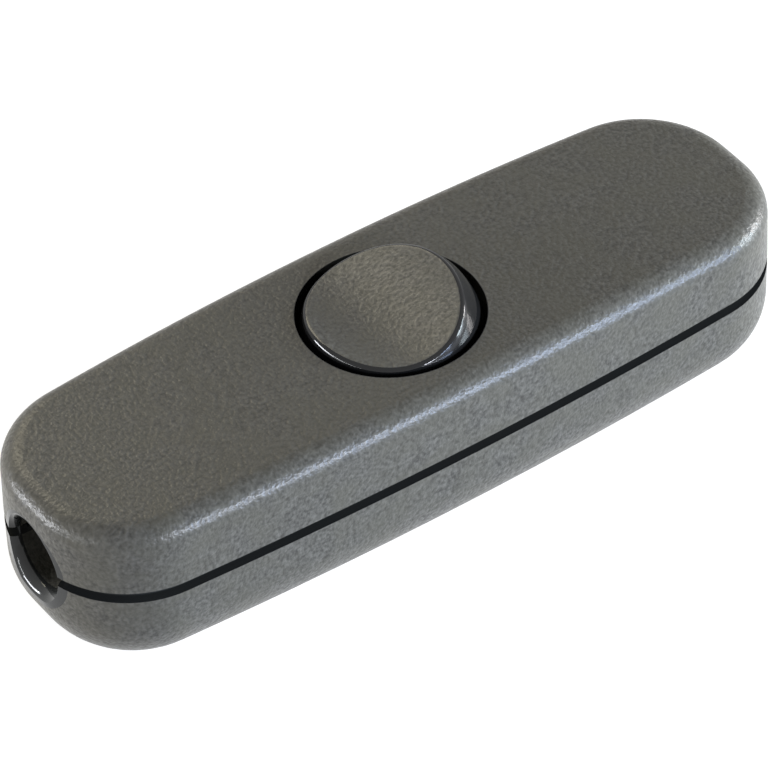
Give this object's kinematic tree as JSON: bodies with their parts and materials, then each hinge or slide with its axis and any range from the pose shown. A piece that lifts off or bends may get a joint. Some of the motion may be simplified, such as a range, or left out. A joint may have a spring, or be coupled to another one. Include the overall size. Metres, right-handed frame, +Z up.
{
  "type": "inline cord switch",
  "caption": "Inline cord switch: long rounded two-part housing, round dished rocker in the top, a cord entry at each end.",
  "frame": {"origin": "middle of the flat underside", "axes": "+X along the housing, towards the raised side of the rocker; +Z up through the rocker"},
  "size_m": [0.1006, 0.0312, 0.0275],
  "materials": {
    "shell_plastic": "fine spark-eroded texture, dark grey",
    "rocker_plastic": "fine satin top, polished sides",
    "plunger_plastic": "natural nylon",
    "clamp_plastic": "natural nylon",
    "brass": "bright",
    "silver": "silver contact rivets, satin",
    "spring_steel": "drawn wire",
    "plated_steel": "zinc plated"
  },
  "bodies": {
    "housing": {"lower_shell": "shell_plastic", "upper_shell": "shell_plastic", "fixed_contact_live": "silver", "fixed_terminal_live": "brass", "pivot_terminal_live": "brass", "fixed_contact_neutral": "silver", "fixed_terminal_neutral": "brass", "pivot_terminal_neutral": "brass", "earth_terminal": "brass", "cord_clamp_left": "clamp_plastic", "cord_clamp_right": "clamp_plastic", "terminal_screws": "plated_steel", "clamp_screws": "plated_steel", "housing_screws": "plated_steel"},
    "rocker": {"rocker_button": "rocker_plastic"},
    "plunger_live": {"plunger_live": "plunger_plastic", "plunger_spring_live": "spring_steel"},
    "lever_live": {"contact_lever_live": "brass", "moving_contact_live": "silver"},
    "plunger_neutral": {"plunger_neutral": "plunger_plastic", "plunger_spring_neutral": "spring_steel"},
    "lever_neutral": {"contact_lever_neutral": "brass", "moving_contact_neutral": "silver"}
  },
  "joints": [
    {"name": "rocker_tilt", "type": "hinge", "parent": "housing", "child": "rocker", "pos_m": [0, 0, 0.01968], "axis": [0, 1, 0], "range_deg": [0, 22.4]},
    {"name": "lever_live_tilt", "type": "hinge", "parent": "housing", "child": "lever_live", "pos_m": [0, -0.006, 0.00922], "axis": [0, 1, 0], "range_deg": [-14, 0]},
    {"name": "plunger_live_slide", "type": "slide", "parent": "rocker", "child": "plunger_live", "axis": [0.1942, 0, -0.981], "range_m": [0, 0.00032], "deforming": ["plunger_spring_live"]},
    {"name": "lever_neutral_tilt", "type": "hinge", "parent": "housing", "child": "lever_neutral", "pos_m": [0, 0.006, 0.00922], "axis": [0, 1, 0], "range_deg": [-14, 0]},
    {"name": "plunger_neutral_slide", "type": "slide", "parent": "rocker", "child": "plunger_neutral", "axis": [0.1942, 0, -0.981], "range_m": [0, 0.00032], "deforming": ["plunger_spring_neutral"]}
  ],
  "couplings": [
    {"joint": "lever_live_tilt", "follows": "rocker_tilt", "ratio": -0.625},
    {"joint": "lever_neutral_tilt", "follows": "rocker_tilt", "ratio": -0.625}
  ]
}
